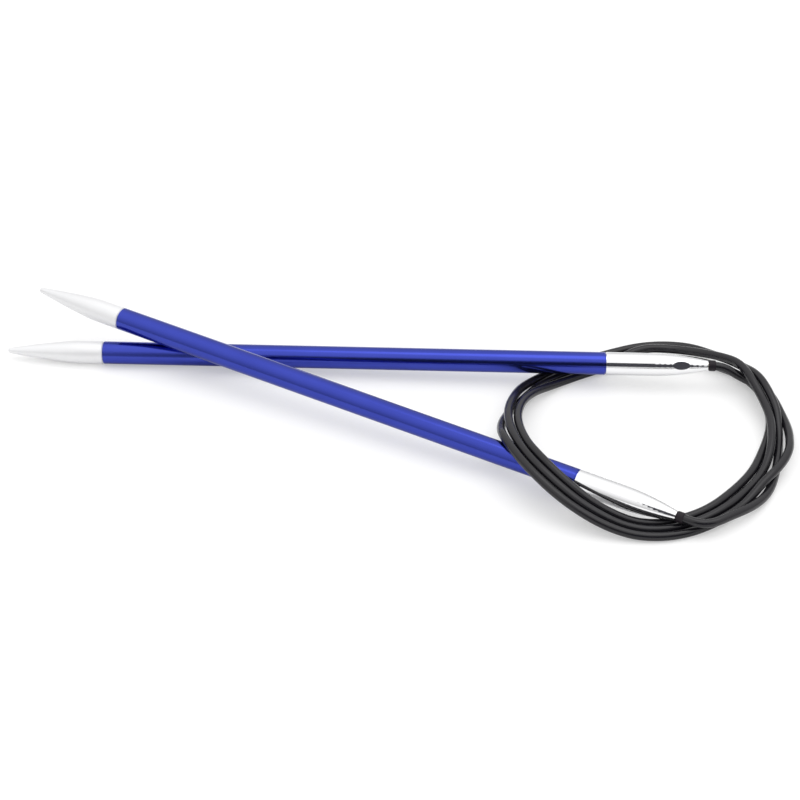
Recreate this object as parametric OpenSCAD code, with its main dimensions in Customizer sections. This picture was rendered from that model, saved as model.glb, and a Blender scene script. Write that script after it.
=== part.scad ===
// Circular knitting needle lying coiled on a table: two rigid needles joined by one flexible cable.
// The origin is under the middle of the whole object, on the table top, with +Z up.

/* [Needles] */
// Diameter of the needle shafts
needle_dia = 4.0; // [3.9:0.05:4.1]
// Full length of one needle, from point to cable collar
needle_len = 124; // [123:0.5:125]
// Length of the bare metal point
point_len = 17.2; // [16:0.1:18]
// Length of the tapered part of the point
taper_len = 12.5; // [10:0.5:13]
// Radius of the rounded end of the point
nose_r = 0.5; // [0.35:0.05:0.6]
// Wall of the anodised shaft tube
tube_wall = 0.5; // [0.4:0.05:0.7]
// Length of the spigots pressed into the shaft tube
spigot_len = 6; // [4:0.5:8]
// Edge break at the ends of the tube and of the parts that meet it
edge_break = 0.15; // [0.1:0.05:0.2]

/* [Cable join] */
// Length of the ferrule that joins a needle to the cable
ferrule_len = 17.9; // [17:0.1:19]
// Length of the full-diameter part of the ferrule
ferrule_straight = 8.5; // [7:0.5:10]
// Radius of the small end of the ferrule
ferrule_end_r = 0.85; // [0.8:0.05:0.95]
// Distance of the punched dimple from the small end of the ferrule
dimple_back = 3.9; // [3.5:0.1:4.5]
// Length of the oval dimple along the ferrule
dimple_len = 2.8; // [2.4:0.1:3]
// Radius of the swivel pin inside the ferrule
pin_r = 0.5; // [0.45:0.05:0.5]
// Length of the swivel pin
pin_len = 10; // [8:0.5:12]
// Running clearance between pin and ferrule, and between collar and ferrule
play = 0.03; // [0.02:0.01:0.05]
// Radius of the collar at the cable end
collar_r = 0.95; // [0.9:0.05:1.05]
// Length of the collar
collar_len = 1.3; // [1:0.1:1.5]
// Distance from the ferrule to the first bend of the cable
lead_len = 2.2; // [2:0.1:2.5]

/* [Cable] */
// Diameter of the cable over its jacket
cable_dia = 1.5; // [1.45:0.05:1.6]
// Diameter of the steel core
core_dia = 0.6; // [0.5:0.05:0.6]

/* [Hidden] */
$fn = 64;
EPS = 0.01;

needle_r = needle_dia / 2;
tube_r = needle_r - tube_wall;
cable_r = cable_dia / 2;
core_r = core_dia / 2;
tube_len = needle_len - point_len - ferrule_len;

// Where each needle's small end lies, which way it points and how it tilts
rear_tail = [55.3, 11.3, 4.63];
rear_yaw = -3.86;
rear_pitch = 1.35;
rear_roll = 237;
front_tail = [46.7, -27.05, 2.85];
front_yaw = -27.4;
front_pitch = -2.2;
front_roll = 60;

// How far the cable droops where it leaves the rear needle
rear_droop = 20;

// Middle of the coil on the table
coil_centre = [44, -4.25];

// The way of the cable round the coil, clockwise from the rear needle to the front one.
// Each station is [degrees turned from +X, distance from the middle, height of the cable's middle].
// A strand that crosses over another one rises by a cable's thickness.
course = [
    // down from the rear lead, over the first lap and under the next two to the outside
    [-43, 21.8, 3.4], [-38, 22.9, 2.6], [-33, 23.5, 2.47], [-27, 24, 2.5], [-22, 24.15, 1.95],
    [-16, 24.1, 1.35], [-10, 24.05, 1.25],
    // over the outer lap
    [-5, 24, 1.5], [5, 23.85, 2.1], [12, 23.85, 2.5], [20, 23.5, 2.55], [30, 22.85, 2.5],
    [35, 22.5, 2.25], [41, 22.3, 1.45], [50, 22.65, 0.8], [60, 23.35, 0.8], [70, 24.2, 0.8],
    [80, 25.1, 0.8], [90, 25.6, 0.8], [100, 25.85, 1.1],
    // over the front needle on the outside, then down and under the next lap
    [110, 25.95, 2.1], [120, 26.05, 3.55], [130, 26.2, 5.15], [140, 26.2, 6.4], [148, 26.15, 6.9],
    [157, 26.1, 7.05], [166, 26.05, 6.6], [173, 25.7, 5.35], [180, 25.2, 4.2], [188, 24.6, 3],
    [195, 24.2, 2.05], [202, 23.85, 1.35], [210, 23.5, 0.95], [220, 23.3, 0.8], [230, 22.85, 0.8],
    // under the rear needle and its lead, then on to the inside
    [242, 22.5, 0.8], [255, 22.6, 0.8], [270, 22.8, 0.8], [280, 23.1, 0.8], [290, 23.75, 0.8],
    [300, 24.35, 0.8], [308, 24.7, 0.8], [316, 24.85, 0.8], [323, 24.55, 0.8], [329, 23.95, 0.8],
    [336, 23.1, 0.8], [343, 22.3, 0.8], [350, 21.5, 0.8], [358, 20.5, 0.8], [366, 19.7, 0.8],
    [375, 19.15, 0.8], [386, 18.95, 0.8], [398, 18.9, 0.8], [410, 19.2, 0.8], [420, 19.9, 0.8],
    [430, 20.7, 0.8], [440, 21.45, 0.8], [450, 22.25, 0.8], [460, 22.4, 0.95],
    // over the front needle on the inside
    [470, 22.5, 2], [480, 22.75, 3.6], [490, 22.85, 5.3], [500, 22.9, 6.45], [508, 22.85, 6.85],
    [518, 22.75, 6.6], [530, 22.6, 6.0], [540, 22.55, 5.2], [550, 22.5, 4.3], [560, 22.4, 3.4],
    [570, 22.05, 2.4], [580, 21.5, 1.4], [590, 21.1, 0.85], [600, 20.8, 0.8], [610, 20.8, 0.9],
    // over the first lap and over the rear lead
    [618, 21.1, 1.65], [625, 22, 2.5], [633, 23.4, 2.5], [641, 24.3, 2.1], [650, 24.5, 2.3],
    [660, 24.3, 3], [669, 23.85, 3.95], [675, 23.4, 4.6], [682, 22.6, 4.7],
    [690, 21.9, 4.15], [699, 21.5, 3.4], [707, 21.3, 3], [715, 21.05, 2.75], [725, 20.8, 2.2],
    [732, 20.7, 1.8], [738, 20.65, 1.35], [746, 20.6, 1], [755, 20.6, 0.8], [765, 20.75, 0.8],
    [775, 21.25, 0.8], [785, 22, 0.8], [795, 22.8, 0.8], [805, 23.6, 0.8], [815, 24.03, 0.85],
    // over the front needle in the middle
    [823, 24.15, 1.25], [830, 24.25, 2.1], [840, 24.4, 3.6], [850, 24.5, 5.25], [860, 24.55, 6.45],
    [869, 24.5, 6.85], [880, 24.35, 6.75], [890, 24.25, 6.35], [900, 24.2, 5.7], [908, 24.2, 4.9],
    [915, 24.2, 4.15], [922, 24.4, 3.2], [930, 24.9, 1.95], [938, 25.05, 1.05], [946, 24.7, 0.8],
    // round the outside, over the rear lead and under the first lap
    [956, 24.35, 0.8], [965, 24.25, 0.8], [973, 24.4, 0.8], [981, 25, 0.8], [990, 26, 0.85],
    [1000, 26.8, 0.95], [1010, 27, 1.2], [1020, 26.25, 1.6], [1028, 25.55, 2.3], [1036, 24.85, 2.95],
    [1042, 24.2, 3.85], [1048, 23.75, 4.17], [1053, 23.4, 4], [1060, 23.15, 3.35],
    [1067, 22.9, 2.55], [1075, 22.4, 1.5], [1085, 22.1, 0.8], [1092, 22.1, 0.8], [1100, 22.35, 0.8],
    [1108, 22.9, 0.8], [1115, 23.5, 0.8], [1121, 23.95, 0.95], [1129, 24.4, 1.45],
    [1135, 24.75, 1.95], [1140, 25, 2.3]
];

// Cable facets: lengthwise step, sides of the jacket and sides of the core
course_step = 7.5;
jacket_sides = 12;
core_sides = 6;
core_gap = 0.02;

// Directions of the needles, from point to cable
function heading(yaw, pitch) = [cos(yaw) * cos(pitch), sin(yaw) * cos(pitch), sin(pitch)];
rear_way = heading(rear_yaw, rear_pitch);
front_way = heading(front_yaw, front_pitch);

// The bends next to the needles, and the ends of the coil just past them
ball_gap = 0.05;
rear_bend = rear_tail + rear_way * lead_len;
front_bend = front_tail + front_way * lead_len;
rear_leave = heading(rear_yaw, rear_pitch - rear_droop);
front_leave = heading(front_yaw, front_pitch);
coil_start = rear_bend + rear_leave * (cable_r + ball_gap);
coil_end = front_bend + front_leave * (cable_r + ball_gap);

// A point seen from the middle of the coil as [clockwise angle, distance, height]
function polar(p, lap) =
    let (x = p[0] - coil_centre[0], y = p[1] - coil_centre[1])
    [360 * lap - atan2(y, x), sqrt(x * x + y * y), p[2]];

// Change of [distance, height] per degree when leaving point p along direction d
function leaving(p, d) =
    let (
        x = p[0] - coil_centre[0],
        y = p[1] - coil_centre[1],
        r = sqrt(x * x + y * y),
        out = (d[0] * x + d[1] * y) / r,
        round = (d[0] * y - d[1] * x) / r,
        degrees = round / r * 180 / PI
    )
    [out / degrees, d[2] / degrees];

stations = concat([polar(coil_start, 0)], course, [polar(coil_end, 3)]);
last = len(stations) - 1;

// Slope of the course at a station, from its neighbours or from the needle it leaves
function slope(i) =
    i == 0 ? leaving(coil_start, rear_leave) :
    i == last ? leaving(coil_end, -front_leave) :
    let (a = stations[i - 1], b = stations[i + 1])
    [b[1] - a[1], b[2] - a[2]] / (b[0] - a[0]);

// Smooth cubic between two values with given slopes, over a span of h
function cubic(v0, m0, v1, m1, t, h) =
    let (t2 = t * t, t3 = t2 * t)
    v0 * (2 * t3 - 3 * t2 + 1) + m0 * h * (t3 - 2 * t2 + t) +
    v1 * (3 * t2 - 2 * t3) + m1 * h * (t3 - t2);

function span_of(turn, i = 0) =
    i >= last - 1 || stations[i + 1][0] > turn ? i : span_of(turn, i + 1);

// Middle of the cable at a given clockwise angle
function cable_point(turn) =
    let (
        i = span_of(turn),
        a = stations[i],
        b = stations[i + 1],
        h = b[0] - a[0],
        t = (turn - a[0]) / h,
        sa = slope(i),
        sb = slope(i + 1),
        r = cubic(a[1], sa[0], b[1], sb[0], t, h),
        z = max(cable_r, cubic(a[2], sa[1], b[2], sb[1], t, h))
    )
    [coil_centre[0] + r * cos(turn), coil_centre[1] - r * sin(turn), z];

turn_first = stations[0][0];
turn_last = stations[last][0];
rings = ceil((turn_last - turn_first) / course_step);
path = [for (i = [0:rings]) cable_point(turn_first + (turn_last - turn_first) * i / rings)];

function unit(v) = v / norm(v);
function ring_way(i) =
    i == 0 ? rear_leave : i == rings ? -front_leave : unit(path[i + 1] - path[i - 1]);

// Corners of one ring of a tube of radius r with a given number of sides
function ring_points(i, r, sides) =
    let (
        way = ring_way(i),
        across = unit(cross(way, [0, 0, 1])),
        over = cross(across, way)
    )
    [for (k = [0:sides - 1])
        path[i] + r * (across * cos(360 * k / sides) + over * sin(360 * k / sides))];

function tube_points(r, sides) = [for (i = [0:rings]) each ring_points(i, r, sides)];

// Side faces of a swept tube; first is the index of its first corner
function side_faces(sides, first, inward) =
    [for (i = [0:rings - 1], k = [0:sides - 1])
        let (
            a = first + i * sides + k,
            b = first + i * sides + (k + 1) % sides
        )
        inward ? [a, b, b + sides, a + sides] : [a, a + sides, b + sides, b]];

// Turned shape of the point: a slender curve from the rounded nose to the full shaft
taper_power = 1.35;
taper_steps = 14;
nose_steps = 5;
function point_r(s) =
    nose_r + (needle_r - nose_r) * (1 - pow(1 - s / taper_len, taper_power));
point_profile = concat(
    [for (k = [0:nose_steps - 1])
        let (a = 90 * k / nose_steps)
        [nose_r * sin(a), nose_r * (1 - cos(a))]],
    [for (k = [0:taper_steps])
        let (s = nose_r + (taper_len - nose_r) * k / taper_steps)
        [point_r(s) - (point_r(nose_r) - nose_r) * (1 - k / taper_steps), s]],
    [
        [needle_r, point_len - edge_break],
        [needle_r - edge_break, point_len],
        [tube_r, point_len],
        [tube_r, point_len + spigot_len - edge_break],
        [tube_r - edge_break, point_len + spigot_len],
        [0, point_len + spigot_len]
    ]
);

// Turned shape of the ferrule, from its spigot to its small end
ferrule_power = 1.8;
ferrule_steps = 10;
ferrule_start = point_len + tube_len;
cone_len = ferrule_len - ferrule_straight;
function cone_r(t) = needle_r - (needle_r - ferrule_end_r) * pow(t, ferrule_power);
bore_r = pin_r + play;
bore_len = pin_len + 1;
ferrule_profile = concat(
    [
        [0, ferrule_start - spigot_len],
        [tube_r - edge_break, ferrule_start - spigot_len],
        [tube_r, ferrule_start - spigot_len + edge_break],
        [tube_r, ferrule_start],
        [needle_r - edge_break, ferrule_start],
        [needle_r, ferrule_start + edge_break]
    ],
    [for (k = [0:ferrule_steps])
        let (t = k / ferrule_steps)
        [cone_r(t), ferrule_start + ferrule_straight + cone_len * t]],
    [
        [bore_r, needle_len],
        [bore_r, needle_len - bore_len],
        [0, needle_len - bore_len]
    ]
);

// The dimple is the print of a large ball; a small bump inside reaches into the pin's groove
dimple_at = needle_len - dimple_back;
dimple_r = cone_r(1 - dimple_back / cone_len);
punch_r = 6;
dimple_depth = dimple_len * dimple_len / 8 / punch_r;
bump_r = 0.45;
bump_reach = 0.16;
groove_half = 0.5;
groove_depth = 0.2;
groove_r = pin_r - groove_depth;

// Depth of the socket in the pin that holds the end of the cable's core
socket_len = 2.5;

// A needle stands on its nose along +Z here and is laid down by this module
module lay_needle(tail, yaw, pitch, roll) {
    translate(tail)
        rotate([0, 90 - pitch, yaw])
            rotate([0, 0, roll])
                translate([0, 0, -needle_len])
                    children();
}

module rear_place() {
    lay_needle(rear_tail, rear_yaw, rear_pitch, rear_roll) children();
}

module front_place() {
    lay_needle(front_tail, front_yaw, front_pitch, front_roll) children();
}

module point() {
    rotate_extrude() polygon(point_profile);
}

module shaft_tube() {
    rotate_extrude()
        translate([0, point_len])
            polygon([
                [tube_r, 0],
                [needle_r - edge_break, 0],
                [needle_r, edge_break],
                [needle_r, tube_len - edge_break],
                [needle_r - edge_break, tube_len],
                [tube_r, tube_len]
            ]);
}

module ferrule() {
    difference() {
        rotate_extrude() polygon(ferrule_profile);
        translate([dimple_r - dimple_depth + punch_r, 0, dimple_at]) sphere(r = punch_r);
    }
    intersection() {
        translate([bore_r - bump_reach + bump_r, 0, dimple_at]) sphere(r = bump_r);
        translate([0, 0, dimple_at - bump_r])
            cylinder(r = dimple_r - dimple_depth - 2 * EPS, h = 2 * bump_r);
    }
}

module swivel_pin() {
    rotate_extrude()
        translate([0, needle_len])
            polygon([
                [0, -pin_len],
                [pin_r - edge_break, -pin_len],
                [pin_r, edge_break - pin_len],
                [pin_r, -dimple_back - groove_half],
                [groove_r, -dimple_back - groove_half],
                [groove_r, -dimple_back + groove_half],
                [pin_r, -dimple_back + groove_half],
                [pin_r, ball_gap],
                [core_r, ball_gap],
                [core_r, -socket_len],
                [0, -socket_len]
            ]);
}

module collar() {
    rotate_extrude()
        translate([0, needle_len + ball_gap])
            polygon([
                [cable_r, 0],
                [collar_r - edge_break, 0],
                [collar_r, edge_break],
                [collar_r, collar_len - edge_break],
                [collar_r - edge_break, collar_len],
                [cable_r, collar_len]
            ]);
}

// The end of the jacket, with a round end that the coil's flat end rolls on
module end_jacket() {
    difference() {
        translate([0, 0, needle_len]) {
            translate([0, 0, ball_gap]) cylinder(r = cable_r, h = lead_len - ball_gap);
            translate([0, 0, lead_len]) sphere(r = cable_r);
        }
        translate([0, 0, needle_len - EPS]) cylinder(r = core_r, h = lead_len + EPS);
    }
}

module end_core() {
    translate([0, 0, needle_len - socket_len]) cylinder(r = core_r, h = socket_len + lead_len);
}

module rear_point() {
    color("silver") rear_place() point();
}

module rear_shaft_tube() {
    color("royalblue") rear_place() shaft_tube();
}

module rear_ferrule() {
    color("silver") rear_place() ferrule();
}

module rear_swivel_pin() {
    color("goldenrod") rear_place() swivel_pin();
}

module rear_collar() {
    color("dimgray") rear_place() collar();
}

module rear_end_jacket() {
    color("black") rear_place() end_jacket();
}

module rear_end_core() {
    color("gray") rear_place() end_core();
}

module front_point() {
    color("silver") front_place() point();
}

module front_shaft_tube() {
    color("royalblue") front_place() shaft_tube();
}

module front_ferrule() {
    color("silver") front_place() ferrule();
}

module front_swivel_pin() {
    color("goldenrod") front_place() swivel_pin();
}

module front_collar() {
    color("dimgray") front_place() collar();
}

module front_end_jacket() {
    color("black") front_place() end_jacket();
}

module front_end_core() {
    color("gray") front_place() end_core();
}

// Jacket of the coil: a swept tube with a bore for the core
module coil_jacket() {
    bore_first = (rings + 1) * jacket_sides;
    outer_end = rings * jacket_sides;
    bore_end = bore_first + rings * core_sides;
    near_cap = [for (k = [0:core_sides - 1])
        let (
            a = 2 * k,
            b = 2 * k + 1,
            c = (2 * k + 2) % jacket_sides,
            p = bore_first + k,
            q = bore_first + (k + 1) % core_sides
        )
        each [[a, b, p], [b, q, p], [b, c, q]]];
    far_cap = [for (f = near_cap)
        [for (v = [f[2], f[1], f[0]]) v < bore_first ? v + outer_end : v - bore_first + bore_end]];
    color("black")
        polyhedron(
            points = concat(
                tube_points(cable_r, jacket_sides),
                tube_points(core_r + core_gap, core_sides)
            ),
            faces = concat(
                side_faces(jacket_sides, 0, false),
                side_faces(core_sides, bore_first, true),
                near_cap,
                far_cap
            )
        );
}

module coil_core() {
    near_cap = [for (k = [0:core_sides - 1]) k];
    far_cap = [for (k = [core_sides - 1:-1:0]) rings * core_sides + k];
    color("gray")
        polyhedron(
            points = tube_points(core_r, core_sides),
            faces = concat(side_faces(core_sides, 0, false), [near_cap, far_cap])
        );
}

rear_point();
rear_shaft_tube();
rear_ferrule();
rear_swivel_pin();
rear_collar();
rear_end_jacket();
rear_end_core();
front_point();
front_shaft_tube();
front_ferrule();
front_swivel_pin();
front_collar();
front_end_jacket();
front_end_core();
coil_jacket();
coil_core();
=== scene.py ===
import math

import bpy
import numpy as np
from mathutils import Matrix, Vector


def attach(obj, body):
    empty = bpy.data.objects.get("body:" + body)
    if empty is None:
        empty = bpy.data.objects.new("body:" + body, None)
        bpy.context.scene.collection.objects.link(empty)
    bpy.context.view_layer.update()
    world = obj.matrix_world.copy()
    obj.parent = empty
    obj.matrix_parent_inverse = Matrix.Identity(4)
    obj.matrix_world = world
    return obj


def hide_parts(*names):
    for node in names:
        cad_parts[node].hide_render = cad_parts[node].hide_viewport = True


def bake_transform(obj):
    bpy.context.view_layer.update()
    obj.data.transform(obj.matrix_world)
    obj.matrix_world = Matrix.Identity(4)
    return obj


# One millimetre, in the scene's metres
MM = 0.001

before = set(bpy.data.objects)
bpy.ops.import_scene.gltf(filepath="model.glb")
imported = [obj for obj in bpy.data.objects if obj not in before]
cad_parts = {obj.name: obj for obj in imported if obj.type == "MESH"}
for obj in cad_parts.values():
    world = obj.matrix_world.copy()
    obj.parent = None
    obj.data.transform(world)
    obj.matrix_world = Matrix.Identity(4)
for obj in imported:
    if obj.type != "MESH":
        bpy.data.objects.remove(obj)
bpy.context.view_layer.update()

# ---------------------------------------------------------------- the cable's way, in millimetres
# Small end of each needle and the way out of it: yaw and pitch in degrees, and how many degrees
# the cable droops behind the rear needle
REAR_TAIL = [55.3, 11.3, 4.63]
REAR_YAW, REAR_PITCH, REAR_DROOP = -3.86, 1.35, 20
FRONT_TAIL = [46.7, -27.05, 2.85]
FRONT_YAW, FRONT_PITCH = -27.4, -2.2
# From a needle's small end to the place where the cable bends, and the clearance in that bend
LEAD = 2.2
BALL_GAP = 0.05
CABLE_R = 0.75
# Middle of the coil, and the whole turns it makes before the lap in which it ends
COIL_CENTRE = [44, -4.25]
LAPS = 3
# Straight cable at each end: where it starts inside the collar, its steps, and how far short of
# the bend it stops
IN_COLLAR = 0.3
STRAIGHT_STEP = 0.2
REAR_TRIM, FRONT_TRIM = 0.4, 0.2
# Steps of the coil's course in degrees, and the even spacing of the whole cable's points
PATH_STEP = 1.0
SPACING = 0.35
# Reach of the smoothing in points, and the number of reaches at which its bell curve is cut off
SMOOTHING = 3
BELL_CUT = 3
# Gap between cable and table
FLOOR_GAP = 0.004
# Sides of the cable's round
SIDES = 20

# Stations of the cable: degrees clockwise from +X, distance from the coil's middle, height
COURSE = [
    # down from the rear lead, over the first lap and under the next two to the outside
    [-43, 21.8, 3.4], [-38, 22.9, 2.6], [-33, 23.5, 2.47], [-27, 24, 2.5], [-22, 24.15, 1.95],
    [-16, 24.1, 1.35], [-10, 24.05, 1.25],
    # over the outer lap
    [-5, 24, 1.5], [5, 23.85, 2.1], [12, 23.85, 2.5], [20, 23.5, 2.55], [30, 22.85, 2.5],
    [35, 22.5, 2.25], [41, 22.3, 1.45], [50, 22.65, 0.8], [60, 23.35, 0.8], [70, 24.2, 0.8],
    [80, 25.1, 0.8], [90, 25.6, 0.8], [100, 25.85, 1.1],
    # over the front needle on the outside, then down and under the next lap
    [110, 25.95, 2.1], [120, 26.05, 3.55], [130, 26.2, 5.15], [140, 26.2, 6.4], [148, 26.15, 6.9],
    [157, 26.1, 7.05], [166, 26.05, 6.6], [173, 25.7, 5.35], [180, 25.2, 4.2], [188, 24.6, 3],
    [195, 24.2, 2.05], [202, 23.85, 1.35], [210, 23.5, 0.95], [220, 23.3, 0.8], [230, 22.85, 0.8],
    # under the rear needle and its lead, then on to the inside
    [242, 22.5, 0.8], [255, 22.6, 0.8], [270, 22.8, 0.8], [280, 23.1, 0.8], [290, 23.75, 0.8],
    [300, 24.35, 0.8], [308, 24.7, 0.8], [316, 24.85, 0.8], [323, 24.55, 0.8], [329, 23.95, 0.8],
    [336, 23.1, 0.8], [343, 22.3, 0.8], [350, 21.5, 0.8], [358, 20.5, 0.8], [366, 19.7, 0.8],
    [375, 19.15, 0.8], [386, 18.95, 0.8], [398, 18.9, 0.8], [410, 19.2, 0.8], [420, 19.9, 0.8],
    [430, 20.7, 0.8], [440, 21.45, 0.8], [450, 22.25, 0.8], [460, 22.4, 0.95],
    # over the front needle on the inside
    [470, 22.5, 2], [480, 22.75, 3.6], [490, 22.85, 5.3], [500, 22.9, 6.45], [508, 22.85, 6.85],
    [518, 22.75, 6.6], [530, 22.6, 6.0], [540, 22.55, 5.2], [550, 22.5, 4.3], [560, 22.4, 3.4],
    [570, 22.05, 2.4], [580, 21.5, 1.4], [590, 21.1, 0.85], [600, 20.8, 0.8], [610, 20.8, 0.9],
    # over the first lap and over the rear lead
    [618, 21.1, 1.65], [625, 22, 2.5], [633, 23.4, 2.5], [641, 24.3, 2.1], [650, 24.5, 2.3],
    [660, 24.3, 3], [669, 23.85, 3.95], [675, 23.4, 4.6], [682, 22.6, 4.7],
    [690, 21.9, 4.15], [699, 21.5, 3.4], [707, 21.3, 3], [715, 21.05, 2.75], [725, 20.8, 2.2],
    [732, 20.7, 1.8], [738, 20.65, 1.35], [746, 20.6, 1], [755, 20.6, 0.8], [765, 20.75, 0.8],
    [775, 21.25, 0.8], [785, 22, 0.8], [795, 22.8, 0.8], [805, 23.6, 0.8], [815, 24.03, 0.85],
    # over the front needle in the middle
    [823, 24.15, 1.25], [830, 24.25, 2.1], [840, 24.4, 3.6], [850, 24.5, 5.25], [860, 24.55, 6.45],
    [869, 24.5, 6.85], [880, 24.35, 6.75], [890, 24.25, 6.35], [900, 24.2, 5.7], [908, 24.2, 4.9],
    [915, 24.2, 4.15], [922, 24.4, 3.2], [930, 24.9, 1.95], [938, 25.05, 1.05], [946, 24.7, 0.8],
    # round the outside, over the rear lead and under the first lap
    [956, 24.35, 0.8], [965, 24.25, 0.8], [973, 24.4, 0.8], [981, 25, 0.8], [990, 26, 0.85],
    [1000, 26.8, 0.95], [1010, 27, 1.2], [1020, 26.25, 1.6], [1028, 25.55, 2.3],
    [1036, 24.85, 2.95], [1042, 24.2, 3.85], [1048, 23.75, 4.17], [1053, 23.4, 4],
    [1060, 23.15, 3.35],
    [1067, 22.9, 2.55], [1075, 22.4, 1.5], [1085, 22.1, 0.8], [1092, 22.1, 0.8], [1100, 22.35, 0.8],
    [1108, 22.9, 0.8], [1115, 23.5, 0.8], [1121, 23.95, 0.95], [1129, 24.4, 1.45],
    [1135, 24.75, 1.95], [1140, 25, 2.3]
]


def heading(yaw, pitch):
    """The direction with this yaw and pitch, in degrees."""
    y, p = math.radians(yaw), math.radians(pitch)
    return np.array([math.cos(y) * math.cos(p), math.sin(y) * math.cos(p), math.sin(p)])


# The way out of each needle, the way the cable leaves the rear one, the places where the cable
# bends, and the two ends of the coil
REAR_WAY = heading(REAR_YAW, REAR_PITCH)
FRONT_WAY = heading(FRONT_YAW, FRONT_PITCH)
REAR_LEAVE = heading(REAR_YAW, REAR_PITCH - REAR_DROOP)
REAR_BEND = np.array(REAR_TAIL) + REAR_WAY * LEAD
FRONT_BEND = np.array(FRONT_TAIL) + FRONT_WAY * LEAD
COIL_START = REAR_BEND + REAR_LEAVE * (CABLE_R + BALL_GAP)
COIL_END = FRONT_BEND + FRONT_WAY * (CABLE_R + BALL_GAP)


def polar(p, lap):
    """A point as [clockwise degrees, distance from the coil's middle, height]."""
    x, y = p[0] - COIL_CENTRE[0], p[1] - COIL_CENTRE[1]
    return [360 * lap - math.degrees(math.atan2(y, x)), math.hypot(x, y), p[2]]


def leaving(p, d):
    """Change of [distance, height] per clockwise degree when leaving point p along direction d."""
    x, y = p[0] - COIL_CENTRE[0], p[1] - COIL_CENTRE[1]
    r = math.hypot(x, y)
    out = (d[0] * x + d[1] * y) / r
    turn = math.degrees((d[0] * y - d[1] * x) / r / r)
    return np.array([out / turn, d[2] / turn])


def cable_path(step):
    """Middle of the cable every step degrees, from the rear needle's bend to the front one's."""
    stations = np.array([polar(COIL_START, 0)] + COURSE + [polar(COIL_END, LAPS)], float)
    turns, values = stations[:, 0], stations[:, 1:]
    slopes = np.zeros_like(values)
    slopes[1:-1] = (values[2:] - values[:-2]) / (turns[2:] - turns[:-2])[:, None]
    slopes[0] = leaving(COIL_START, REAR_LEAVE)
    slopes[-1] = leaving(COIL_END, -FRONT_WAY)
    at = np.linspace(turns[0], turns[-1], int((turns[-1] - turns[0]) / step) + 1)
    i = np.clip(np.searchsorted(turns, at, side="right") - 1, 0, len(turns) - 2)
    h = (turns[i + 1] - turns[i])[:, None]
    t = (at - turns[i])[:, None] / h
    t2, t3 = t * t, t * t * t
    v = (
        values[i] * (2 * t3 - 3 * t2 + 1) + slopes[i] * h * (t3 - 2 * t2 + t)
        + values[i + 1] * (3 * t2 - 2 * t3) + slopes[i + 1] * h * (t3 - t2)
    )
    a = np.radians(at)
    return np.stack([
        COIL_CENTRE[0] + v[:, 0] * np.cos(a),
        COIL_CENTRE[1] - v[:, 0] * np.sin(a),
        np.maximum(CABLE_R, v[:, 1]),
    ], axis=1)


def resample(points, spacing):
    """The same way in equal steps."""
    run = np.concatenate([[0], np.cumsum(np.linalg.norm(np.diff(points, axis=0), axis=1))])
    s = np.linspace(0, run[-1], int(run[-1] / spacing) + 1)
    return np.stack([np.interp(s, run, points[:, k]) for k in range(3)], axis=1)


def smooth(points, reach):
    """Rounds kinks with a bell curve that reaches over some points; the two ends stay."""
    pad = BELL_CUT * reach
    k = np.exp(-0.5 * (np.arange(-pad, pad + 1) / reach) ** 2)
    k /= k.sum()
    before = points[0] - (points[pad:0:-1] - points[0])
    after = points[-1] - (points[-2:-pad - 2:-1] - points[-1])
    full = np.concatenate([before, points, after])
    return np.stack([np.convolve(full[:, j], k, mode="valid") for j in range(3)], axis=1)


def straight(tail, direction, trim):
    """The straight bit of cable from inside a collar to just before the bend."""
    distances = np.arange(IN_COLLAR, LEAD - trim, STRAIGHT_STEP)
    return [np.array(tail) + direction * d for d in distances]


# The whole cable: straight out of one collar, round the coil and back into the other collar
rear_straight = straight(REAR_TAIL, REAR_WAY, REAR_TRIM)
front_straight = straight(FRONT_TAIL, FRONT_WAY, FRONT_TRIM)
whole = np.concatenate([rear_straight, cable_path(PATH_STEP), front_straight[::-1]])
whole = smooth(resample(whole, SPACING), SMOOTHING)
whole[:, 2] = np.maximum(whole[:, 2], CABLE_R + FLOOR_GAP)

# Directions across and over the cable at each of its points
way = np.gradient(whole, axis=0)
way /= np.linalg.norm(way, axis=1)[:, None]
ACROSS = np.cross(way, [0, 0, 1])
ACROSS /= np.linalg.norm(ACROSS, axis=1)[:, None]
OVER = np.cross(ACROSS, way)


def tube(name, first, last, material):
    """A length of the cable as a round tube with flat closed ends."""
    verts = []
    for k in range(first, last + 1):
        for j in range(SIDES):
            a = 2 * math.pi * j / SIDES
            p = whole[k] + CABLE_R * (ACROSS[k] * math.cos(a) + OVER[k] * math.sin(a))
            verts.append(tuple(p * MM))
    faces = []
    for k in range(last - first):
        for j in range(SIDES):
            a, b = k * SIDES + j, k * SIDES + (j + 1) % SIDES
            faces.append((a, a + SIDES, b + SIDES, b))
    faces.append(tuple(range(SIDES)))
    faces.append(tuple(reversed(range(len(verts) - SIDES, len(verts)))))
    mesh = bpy.data.meshes.new(name)
    mesh.from_pydata(verts, [], faces)
    mesh.validate()
    rims = set()
    for poly in mesh.polygons:
        poly.use_smooth = len(poly.vertices) == 4
        if not poly.use_smooth:
            rims.update(poly.edge_keys)
    for edge in mesh.edges:
        edge.use_edge_sharp = tuple(sorted(edge.vertices)) in rims
    obj = bpy.data.objects.new(name, mesh)
    bpy.context.scene.collection.objects.link(obj)
    obj.data.materials.append(material)
    return obj


# ---------------------------------------------------------------- materials
def node_material(name):
    """A new material with one Principled shader."""
    m = bpy.data.materials.new(name)
    m.use_nodes = True
    nt = m.node_tree
    nt.nodes.clear()
    out = nt.nodes.new("ShaderNodeOutputMaterial")
    bsdf = nt.nodes.new("ShaderNodeBsdfPrincipled")
    nt.links.new(bsdf.outputs["BSDF"], out.inputs["Surface"])
    return m, nt, bsdf


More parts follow.
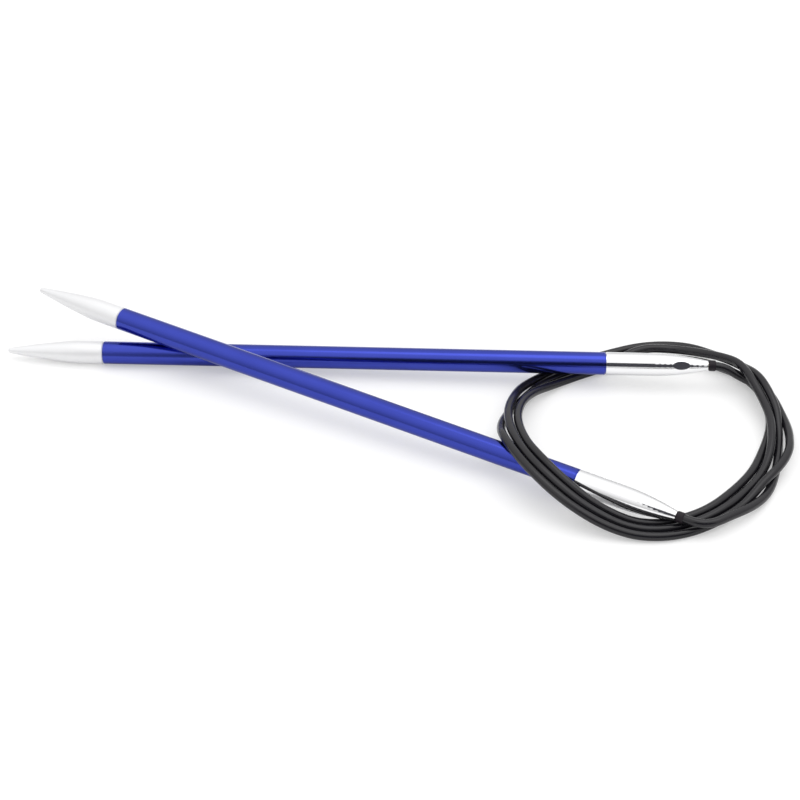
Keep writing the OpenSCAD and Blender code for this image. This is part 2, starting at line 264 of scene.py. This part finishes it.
def noise(nt, vector, scale, detail=3.0, rough=0.5):
    """A noise, scale times per metre."""
    n = nt.nodes.new("ShaderNodeTexNoise")
    n.inputs["Scale"].default_value = scale
    n.inputs["Detail"].default_value = detail
    n.inputs["Roughness"].default_value = rough
    nt.links.new(vector, n.inputs["Vector"])
    return n.outputs["Fac"]


# The range that a noise's values fill in practice
NOISE_LOW, NOISE_HIGH = 0.3, 0.7


def spread(nt, value, low, high):
    """Stretches a noise's usual range over low to high."""
    r = nt.nodes.new("ShaderNodeMapRange")
    r.inputs["From Min"].default_value = NOISE_LOW
    r.inputs["From Max"].default_value = NOISE_HIGH
    r.inputs["To Min"].default_value = low
    r.inputs["To Max"].default_value = high
    nt.links.new(value, r.inputs["Value"])
    return r.outputs["Result"]


def mixed(nt, value, dark, light):
    """A colour from dark, where the value is 0, to light, where it is 1."""
    c = nt.nodes.new("ShaderNodeMix")
    c.data_type = "RGBA"
    nt.links.new(value, c.inputs["Factor"])
    c.inputs["A"].default_value = (*dark, 1)
    c.inputs["B"].default_value = (*light, 1)
    return c.outputs["Result"]


def bumped(nt, bsdf, height, strength, distance):
    """Fine relief that follows a value; distance is its full height in metres."""
    b = nt.nodes.new("ShaderNodeBump")
    b.inputs["Strength"].default_value = strength
    b.inputs["Distance"].default_value = distance
    nt.links.new(height, b.inputs["Height"])
    nt.links.new(b.outputs["Normal"], bsdf.inputs["Normal"])


def object_vector(nt):
    """Position on the object, in metres."""
    return nt.nodes.new("ShaderNodeTexCoord").outputs["Object"]


def along_needle(nt, direction):
    """Distance along a needle as a vector, so that a noise read with it makes turned rings."""
    dot = nt.nodes.new("ShaderNodeVectorMath")
    dot.operation = "DOT_PRODUCT"
    nt.links.new(object_vector(nt), dot.inputs[0])
    dot.inputs[1].default_value = tuple(direction)
    v = nt.nodes.new("ShaderNodeCombineXYZ")
    nt.links.new(dot.outputs["Value"], v.inputs["X"])
    return v.outputs["Vector"]


# Metal: scales of the colour blotches and of the turning marks, per metre, the marks' detail and
# roughness as a noise, and their height in metres
BLOTCH_SCALE = 160
TURNING_SCALE = 2500
TURNING_DETAIL, TURNING_ROUGH = 4.0, 0.6
TURNING_HEIGHT = 0.00004
# Plastic: detail of the grain as a noise, and its height in metres
GRAIN_DETAIL = 4.0
GRAIN_HEIGHT = 0.00005


def turned_metal(name, direction, dark, light, roughness, marks, metallic=1.0):
    """Lathe-turned metal: wide colour blotches, fine rings in its roughness and bump."""
    m, nt, bsdf = node_material(name)
    blotch = noise(nt, object_vector(nt), BLOTCH_SCALE)
    rings = noise(
        nt, along_needle(nt, direction), TURNING_SCALE, TURNING_DETAIL, TURNING_ROUGH
    )
    nt.links.new(mixed(nt, blotch, dark, light), bsdf.inputs["Base Color"])
    nt.links.new(spread(nt, rings, *roughness), bsdf.inputs["Roughness"])
    bsdf.inputs["Metallic"].default_value = metallic
    bumped(nt, bsdf, rings, marks, TURNING_HEIGHT)
    return m


def plastic(name, dark, light, roughness, specular, colour_scale, grain_scale, grain):
    """Smooth plastic with wide colour changes and a fine grain."""
    m, nt, bsdf = node_material(name)
    wide = noise(nt, object_vector(nt), colour_scale)
    fine = noise(nt, object_vector(nt), grain_scale, GRAIN_DETAIL)
    nt.links.new(mixed(nt, wide, dark, light), bsdf.inputs["Base Color"])
    nt.links.new(spread(nt, wide, *roughness), bsdf.inputs["Roughness"])
    bsdf.inputs["Specular IOR Level"].default_value = specular
    bumped(nt, bsdf, fine, grain, GRAIN_HEIGHT)
    return m


def paint(node, material):
    """Gives a carried-over node its material."""
    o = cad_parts[node]
    o.data.materials.clear()
    o.data.materials.append(material)


cable = plastic(
    "black_cable", dark=(0.006, 0.0055, 0.008), light=(0.012, 0.011, 0.014),
    roughness=(0.17, 0.25), specular=0.42, colour_scale=90, grain_scale=900, grain=0.12,
)
collar = plastic(
    "black_collar", dark=(0.010, 0.007, 0.010), light=(0.018, 0.013, 0.018),
    roughness=(0.35, 0.45), specular=0.2, colour_scale=900, grain_scale=1500, grain=0.15,
)
for side, direction in (("rear", REAR_WAY), ("front", FRONT_WAY)):
    polished = turned_metal(
        side + "_polished_metal", direction, dark=(0.86, 0.86, 0.87), light=(0.93, 0.93, 0.94),
        roughness=(0.07, 0.12), marks=0.06,
    )
    satin = turned_metal(
        side + "_satin_metal", direction, dark=(0.78, 0.78, 0.79), light=(0.85, 0.85, 0.86),
        roughness=(0.34, 0.42), marks=0.12, metallic=0.4,
    )
    blue = turned_metal(
        side + "_blue_anodised", direction, dark=(0.041, 0.056, 0.35), light=(0.052, 0.072, 0.42),
        roughness=(0.16, 0.22), marks=0.05,
    )
    brass = turned_metal(
        side + "_brass", direction, dark=(0.60, 0.45, 0.20), light=(0.70, 0.55, 0.28),
        roughness=(0.25, 0.35), marks=0.1,
    )
    steel = turned_metal(
        side + "_steel", direction, dark=(0.45, 0.46, 0.48), light=(0.55, 0.56, 0.58),
        roughness=(0.25, 0.4), marks=0.1,
    )
    paint(side + "_point", satin)
    paint(side + "_ferrule", polished)
    paint(side + "_shaft_tube", blue)
    paint(side + "_swivel_pin", brass)
    paint(side + "_collar", collar)
    paint(side + "_end_core", steel)
    paint(side + "_end_jacket", cable)
paint("coil_jacket", cable)
paint("coil_core", steel)

# ---------------------------------------------------------------- the cable as it looks
# Each end of the cable, between its collar and the coil, is a tube of its own; the rest lies still
# with the coil.
# Length of an end, measured along the cable
END_REACH = 7.0
final = len(whole) - 1
end_steps = int(END_REACH / SPACING)
rear_end = tube("rear_cable_end_look", 0, end_steps, cable)
coil = tube("coil_look", end_steps, final - end_steps, cable)
front_end = tube("front_cable_end_look", final - end_steps, final, cable)
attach(coil, "cable")
for look, body, bend, direction in (
    (rear_end, "rear_cable_end", REAR_BEND, REAR_WAY),
    (front_end, "front_cable_end", FRONT_BEND, FRONT_WAY),
):
    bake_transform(look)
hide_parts("coil_jacket")
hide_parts("rear_end_jacket")
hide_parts("front_end_jacket")


# ---------------------------------------------------------------- floor, light and camera
def sheet(name, half_w, half_h, colour, roughness, specular):
    """A flat sheet on the floor plane with a plain material, returned with the material's nodes."""
    corners = [(x * half_w, y * half_h, 0) for x, y in ((-1, -1), (1, -1), (1, 1), (-1, 1))]
    mesh = bpy.data.meshes.new(name)
    mesh.from_pydata(corners, [], [(0, 1, 2, 3)])
    o = bpy.data.objects.new(name, mesh)
    bpy.context.scene.collection.objects.link(o)
    m, nt, bsdf = node_material(name)
    bsdf.inputs["Base Color"].default_value = (*colour, 1)
    bsdf.inputs["Roughness"].default_value = roughness
    bsdf.inputs["Specular IOR Level"].default_value = specular
    o.data.materials.append(m)
    return o, nt, bsdf


def softbox(name, at, to, width, height, watts):
    """A broad light at one place that shines to another, in metres."""
    light = bpy.data.lights.new(name, "AREA")
    light.shape = "RECTANGLE"
    light.size, light.size_y, light.energy = width, height, watts
    o = bpy.data.objects.new(name, light)
    bpy.context.scene.collection.objects.link(o)
    o.location = at
    o.rotation_mode = "QUATERNION"
    o.rotation_quaternion = (Vector(to) - Vector(at)).to_track_quat("-Z", "Y")


# A white table. To the camera it is a little darker and glows, so that its shadows stay pale.
FLOOR_REACH = 3.0
FLOOR_WHITE, FLOOR_SEEN, FLOOR_GLOW = (0.92, 0.92, 0.92), (0.645, 0.645, 0.645), 0.36
_, floor_tree, floor_bsdf = sheet(
    "floor", FLOOR_REACH, FLOOR_REACH, colour=FLOOR_WHITE, roughness=0.9, specular=0.1
)
eye = floor_tree.nodes.new("ShaderNodeLightPath").outputs["Is Camera Ray"]
floor_tree.links.new(
    mixed(floor_tree, eye, FLOOR_WHITE, FLOOR_SEEN), floor_bsdf.inputs["Base Color"]
)
glow = floor_tree.nodes.new("ShaderNodeMath")
glow.operation = "MULTIPLY"
glow.inputs[1].default_value = FLOOR_GLOW
floor_tree.links.new(eye, glow.inputs[0])
floor_bsdf.inputs["Emission Color"].default_value = (1, 1, 1, 1)
floor_tree.links.new(glow.outputs["Value"], floor_bsdf.inputs["Emission Strength"])

# A soft sky that is brightest overhead and plain white to the camera, and one broad light
SKY_LOW, SKY_HIGH = 0.55, 1.35
world = bpy.data.worlds.new("studio")
bpy.context.scene.world = world
world.use_nodes = True
sky_tree = world.node_tree
background = sky_tree.nodes["Background"]
background.inputs["Color"].default_value = (1, 1, 1, 1)
height = sky_tree.nodes.new("ShaderNodeSeparateXYZ")
upward = sky_tree.nodes.new("ShaderNodeTexCoord").outputs["Generated"]
sky_tree.links.new(upward, height.inputs["Vector"])
sky = sky_tree.nodes.new("ShaderNodeMapRange")
sky.inputs["To Min"].default_value = SKY_LOW
sky.inputs["To Max"].default_value = SKY_HIGH
sky_tree.links.new(height.outputs["Z"], sky.inputs["Value"])
lit = sky_tree.nodes.new("ShaderNodeMath")
lit.operation = "MAXIMUM"
sky_tree.links.new(sky.outputs["Result"], lit.inputs[0])
seen = sky_tree.nodes.new("ShaderNodeLightPath").outputs["Is Camera Ray"]
sky_tree.links.new(seen, lit.inputs[1])
sky_tree.links.new(lit.outputs["Value"], background.inputs["Strength"])
softbox("overhead", at=(0.17, 0.08, 0.60), to=(0.02, 0, 0), width=0.45, height=0.5, watts=0.65)

# The place on the table in the middle of the camera's view
TARGET = Vector((1.4, 7.47, 0)) * MM


def above_front(elevation, distance):
    """A place in front of the target, at an elevation in degrees and a distance in metres."""
    e = math.radians(elevation)
    return TARGET + Vector((0, -math.cos(e), math.sin(e))) * distance


# The dark side of the studio behind the camera, which draws the dark line along the metal.
# It shows in reflections only, so it takes no light from the table.
CARD_ELEVATION, CARD_DISTANCE, CARD_RIGHT = 27.0, 0.62, 0.22
card, _, _ = sheet(
    "dark_card", half_w=0.41, half_h=0.21, colour=(0.035, 0.035, 0.045), roughness=0.9, specular=0.5
)
card.location = above_front(CARD_ELEVATION, CARD_DISTANCE) + Vector((CARD_RIGHT, 0, 0))
card.rotation_euler = (math.radians(90 - CARD_ELEVATION), 0, 0)
card.visible_camera = card.visible_diffuse = card.visible_shadow = False

# The camera's elevation in degrees and its distance in metres
ELEVATION, DISTANCE = 38.0, 0.4605
SENSOR_WIDTH, FOCAL_LENGTH = 36, 118.5  # millimetres
NEAREST, FARTHEST = 0.01, 20  # metres
camera = bpy.data.objects.new("camera", bpy.data.cameras.new("camera"))
bpy.context.scene.collection.objects.link(camera)
camera.location = above_front(ELEVATION, DISTANCE)
camera.rotation_euler = (math.radians(90 - ELEVATION), 0, 0)
camera.data.sensor_width = SENSOR_WIDTH
camera.data.lens = FOCAL_LENGTH
camera.data.clip_start, camera.data.clip_end = NEAREST, FARTHEST
bpy.context.scene.camera = camera
bpy.context.scene.view_settings.view_transform = "Standard"
